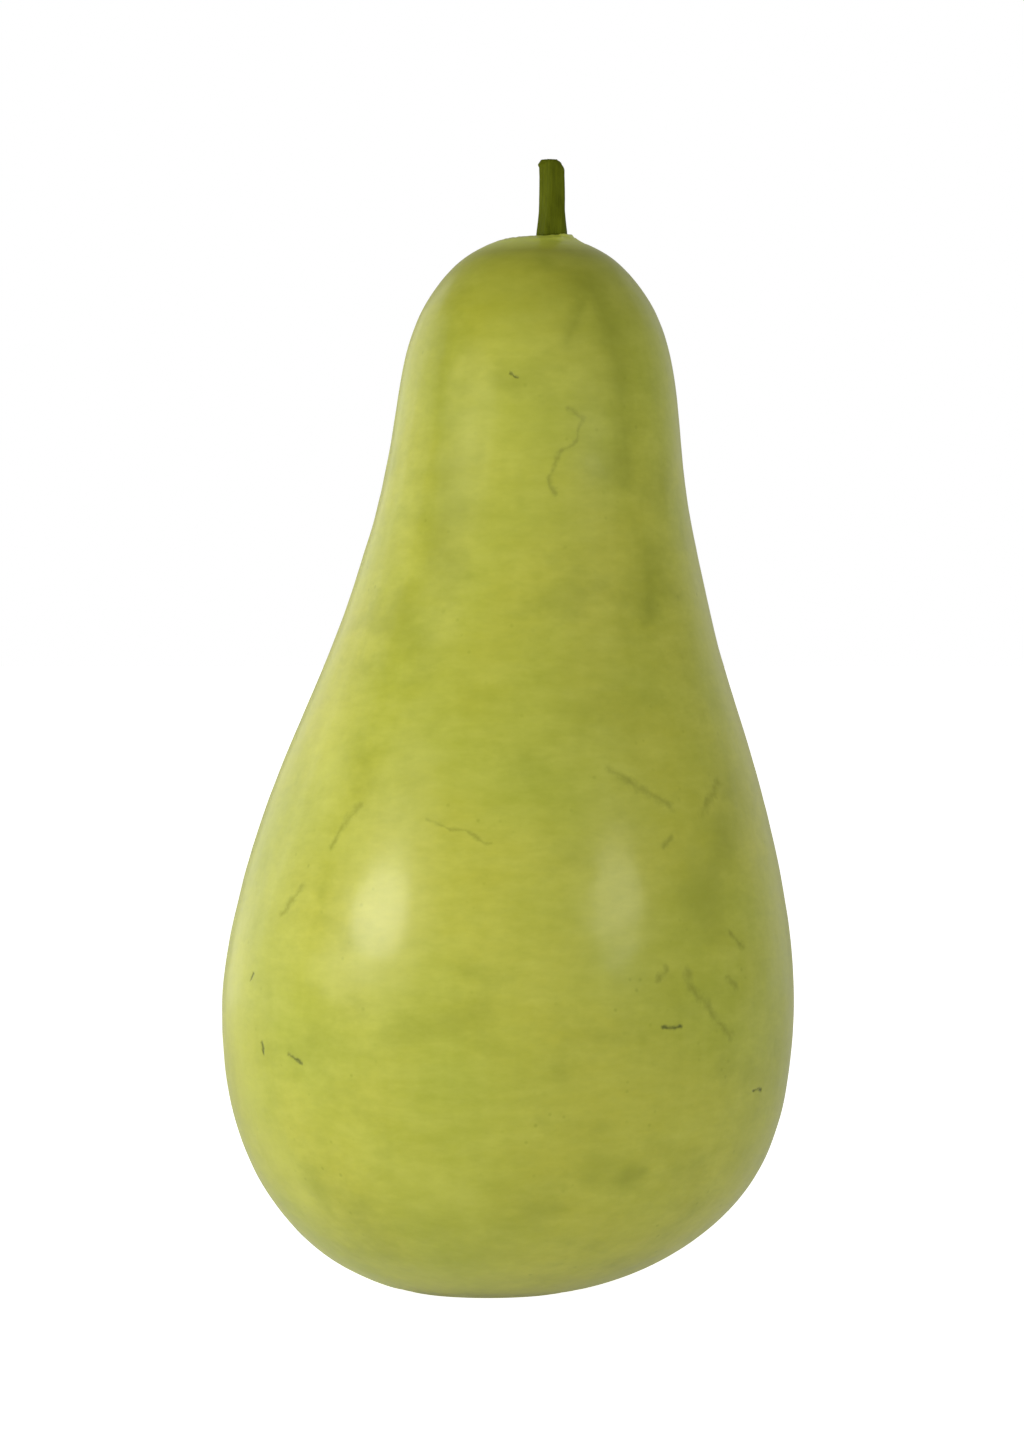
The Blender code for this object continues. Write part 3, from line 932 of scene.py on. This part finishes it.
class GourdStemSettings(bpy.types.PropertyGroup):
    """Sizes of the stem."""

    bend: length_property("Bend", "How far the stem bows towards +X", 0.2 * MM)
    lean: length_property("Lean", "How far its end leans towards +X", -0.2 * MM)
    set_back: length_property("Set Back", "How far its foot stands towards -X", 0.1 * MM)
    ridge_count: count_property("Ridges", "Angles of the stalk", 5)
    ridge_share: number_property("Ridge Share", "Height of a ridge as a share of the radius", 0.075)
    ridge_turn: turn_property("Ridge Turn", "Where the first ridge starts", -117)
    ridge_winding: turn_property("Ridge Winding", "How far a ridge winds round", 25)
    fibre_share: number_property("Fibre Share", "Height of a fibre as a share of the radius", 0.008)
    cut_slope: length_property("Cut Slope", "How far the cut end falls away", 1.7 * MM)
    tear_depth: length_property("Tear Depth", "Roughness of the cut end", 0.25 * MM)
    segments: count_property("Segments", "Faces round the stem", 140)
    rings: count_property("Rings", "Faces along its outline", 110)
    seed: number_property("Seed", "Picks the tears", 8.0)


class GourdColourSettings(bpy.types.PropertyGroup):
    """Colours of the rind and the stem."""

    rind_green: colour_property("Rind Green", "Greener skin", "A6AC38")
    rind_yellow: colour_property("Rind Yellow", "Yellower skin", "B4B43E")
    # Also the colour of the painted reflection on the lower left of the belly
    rind_pale: colour_property("Rind Pale", "Pale blotches", "C8CA5C")
    # Also the colour of the painted shade on the shoulder and on the left of the neck
    rind_dark: colour_property("Rind Dark", "Mottling and bruises", "858C20")
    collar: colour_property("Collar", "Fleshy collar round the stem", "D4DC5A")
    rubbed: colour_property("Rubbed", "Skin that the fruit rests on", "B9B56A")
    cork: colour_property("Cork", "Blossom scar", "8C7442")
    scar: colour_property("Scar", "Healed scratches", "626818")
    nick: colour_property("Nick", "Fresh nicks", "46500C")
    stem_dark: colour_property("Stem Dark", "Stalk between its ridges", "4A5203")
    stem_green: colour_property("Stem Green", "Stalk", "5A6206")
    stem_pale: colour_property("Stem Pale", "Ridges of the stalk", "747E22")
    pith: colour_property("Pith", "Cut end", "A6A468")


class GourdStageSettings(bpy.types.PropertyGroup):
    """The studio."""

    camera_distance: length_property("Camera Distance", "From the gourd", 1.6)
    camera_elevation: number_property("Camera Elevation", "Degrees above level", 1.0)
    lens: number_property("Lens", "Focal length in millimetres", 152.0)
    aim: bpy.props.FloatVectorProperty(
        name="Aim",
        description="What the camera looks at",
        default=(1.05 * MM, 0.0, 148.4 * MM),
        subtype="TRANSLATION",
    )
    lamp_colour: colour_property("Lamp Colour", "A slightly warm white", "FFFFED")
    left_level: level_property("Room Left", "Brightness of that side of the room", 0.0)
    right_level: level_property("Room Right", "Brightness of that side of the room", 0.35)
    front_level: level_property("Room Front", "Brightness of that side of the room", 0.87)
    back_level: level_property("Room Back", "Brightness of that side of the room", 0.5)
    top_level: level_property("Room Top", "Brightness overhead", 0.12)
    key_level: level_property("Key", "Brightness of the key softbox", 10.0)
    surround_level: level_property("Key Surround", "Brightness of the cloth round the key", 1.0)
    fill_level: level_property("Fill", "Brightness of the fill softbox", 5.0)
    left_panel_level: level_property("Left Panel", "Brightness of the panel on the left", 1.03)
    rear_panel_level: level_property("Rear Left Panel", "Brightness of the panel on the rear left", 0.87)
    right_panel_level: level_property("Rear Right Panel", "Brightness of the panel on the rear right", 0.25)
    strip_level: level_property("Low Strip", "Brightness of the strip near the table", 2.8)
    table_glow: level_property("Table Glow", "How bright the table looks", 1.0)
    table_light: level_property("Table Light", "How much light the table gives", 0.25)
    table_reach: length_property("Table Reach", "From the gourd to the table's edge", 20.0)


# Operators


class GOURD_OT_make_fruit(bpy.types.Operator):
    """Grow the fruit in place of its plain solid"""

    bl_idname = "gourd.make_fruit"
    bl_label = "Make Fruit"

    def execute(self, context):
        shape = context.scene.gourd_fruit
        values = {
            "End Crowding": 0.45,
            "Middle": middle_of(FRUIT_BOX),
            "Material": rind_material(context.scene.gourd_colours, RindSurface(shape)),
        }
        piece = grown_piece("gourd_rind", fruit_knots(shape), fruit_tree(), shape, values)
        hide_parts("fruit")
        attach(piece, "root")
        return {"FINISHED"}


class GOURD_OT_make_stem(bpy.types.Operator):
    """Grow the ridged stem in place of its plain solid"""

    bl_idname = "gourd.make_stem"
    bl_label = "Make Stem"

    def execute(self, context):
        shape = context.scene.gourd_stem
        base, top = STEM_BOX[0][2], STEM_BOX[1][2]
        values = {
            "End Crowding": 0.2,
            "Middle": middle_of(STEM_BOX) - Vector((shape.set_back, 0.0, 0.0)),
            "Material": stem_material(context.scene.gourd_colours),
            "Base": base,
            "Length": top - base,
            "Ridge Count": float(shape.ridge_count),
        }
        piece = grown_piece("gourd_stem", plain_knots(STEM_MM, base), stem_tree(), shape, values)
        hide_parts("stem")
        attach(piece, "root")
        return {"FINISHED"}


class GOURD_OT_make_stage(bpy.types.Operator):
    """Set the table, the lights and the camera"""

    bl_idname = "gourd.make_stage"
    bl_label = "Make Stage"

    def execute(self, context):
        stage = context.scene.gourd_stage
        studio_table(stage)
        studio_world(stage)
        for box in SOFTBOXES:
            hang_softbox(box, getattr(stage, box.level), stage.lamp_colour)
        studio_camera(stage, Vector(stage.aim))
        context.scene.view_settings.view_transform = "Standard"
        return {"FINISHED"}


class GOURD_PT_panel(bpy.types.Panel):
    """The gourd's tools in the sidebar"""

    bl_idname = "GOURD_PT_panel"
    bl_label = "Bottle Gourd"
    bl_space_type = "VIEW_3D"
    bl_region_type = "UI"
    bl_category = "Gourd"

    def draw(self, context):
        layout = self.layout
        for operator, group in OPERATOR_GROUPS:
            layout.operator(operator.bl_idname)
            settings = getattr(context.scene, group)
            for name in settings.__annotations__:
                layout.prop(settings, name)


SETTINGS = {
    "gourd_fruit": GourdFruitSettings,
    "gourd_stem": GourdStemSettings,
    "gourd_colours": GourdColourSettings,
    "gourd_stage": GourdStageSettings,
}
OPERATOR_GROUPS = (
    (GOURD_OT_make_fruit, "gourd_fruit"),
    (GOURD_OT_make_stem, "gourd_stem"),
    (GOURD_OT_make_stage, "gourd_stage"),
)
CLASSES = (*SETTINGS.values(), *(operator for operator, _ in OPERATOR_GROUPS), GOURD_PT_panel)


def register():
    for kind in CLASSES:
        bpy.utils.register_class(kind)
    for name, group in SETTINGS.items():
        setattr(bpy.types.Scene, name, bpy.props.PointerProperty(type=group))


def unregister():
    for name in SETTINGS:
        delattr(bpy.types.Scene, name)
    for kind in reversed(CLASSES):
        bpy.utils.unregister_class(kind)


def main():
    register()
    bpy.ops.gourd.make_fruit()
    bpy.ops.gourd.make_stem()
    bpy.ops.gourd.make_stage()


if __name__ == "__main__":
    main()
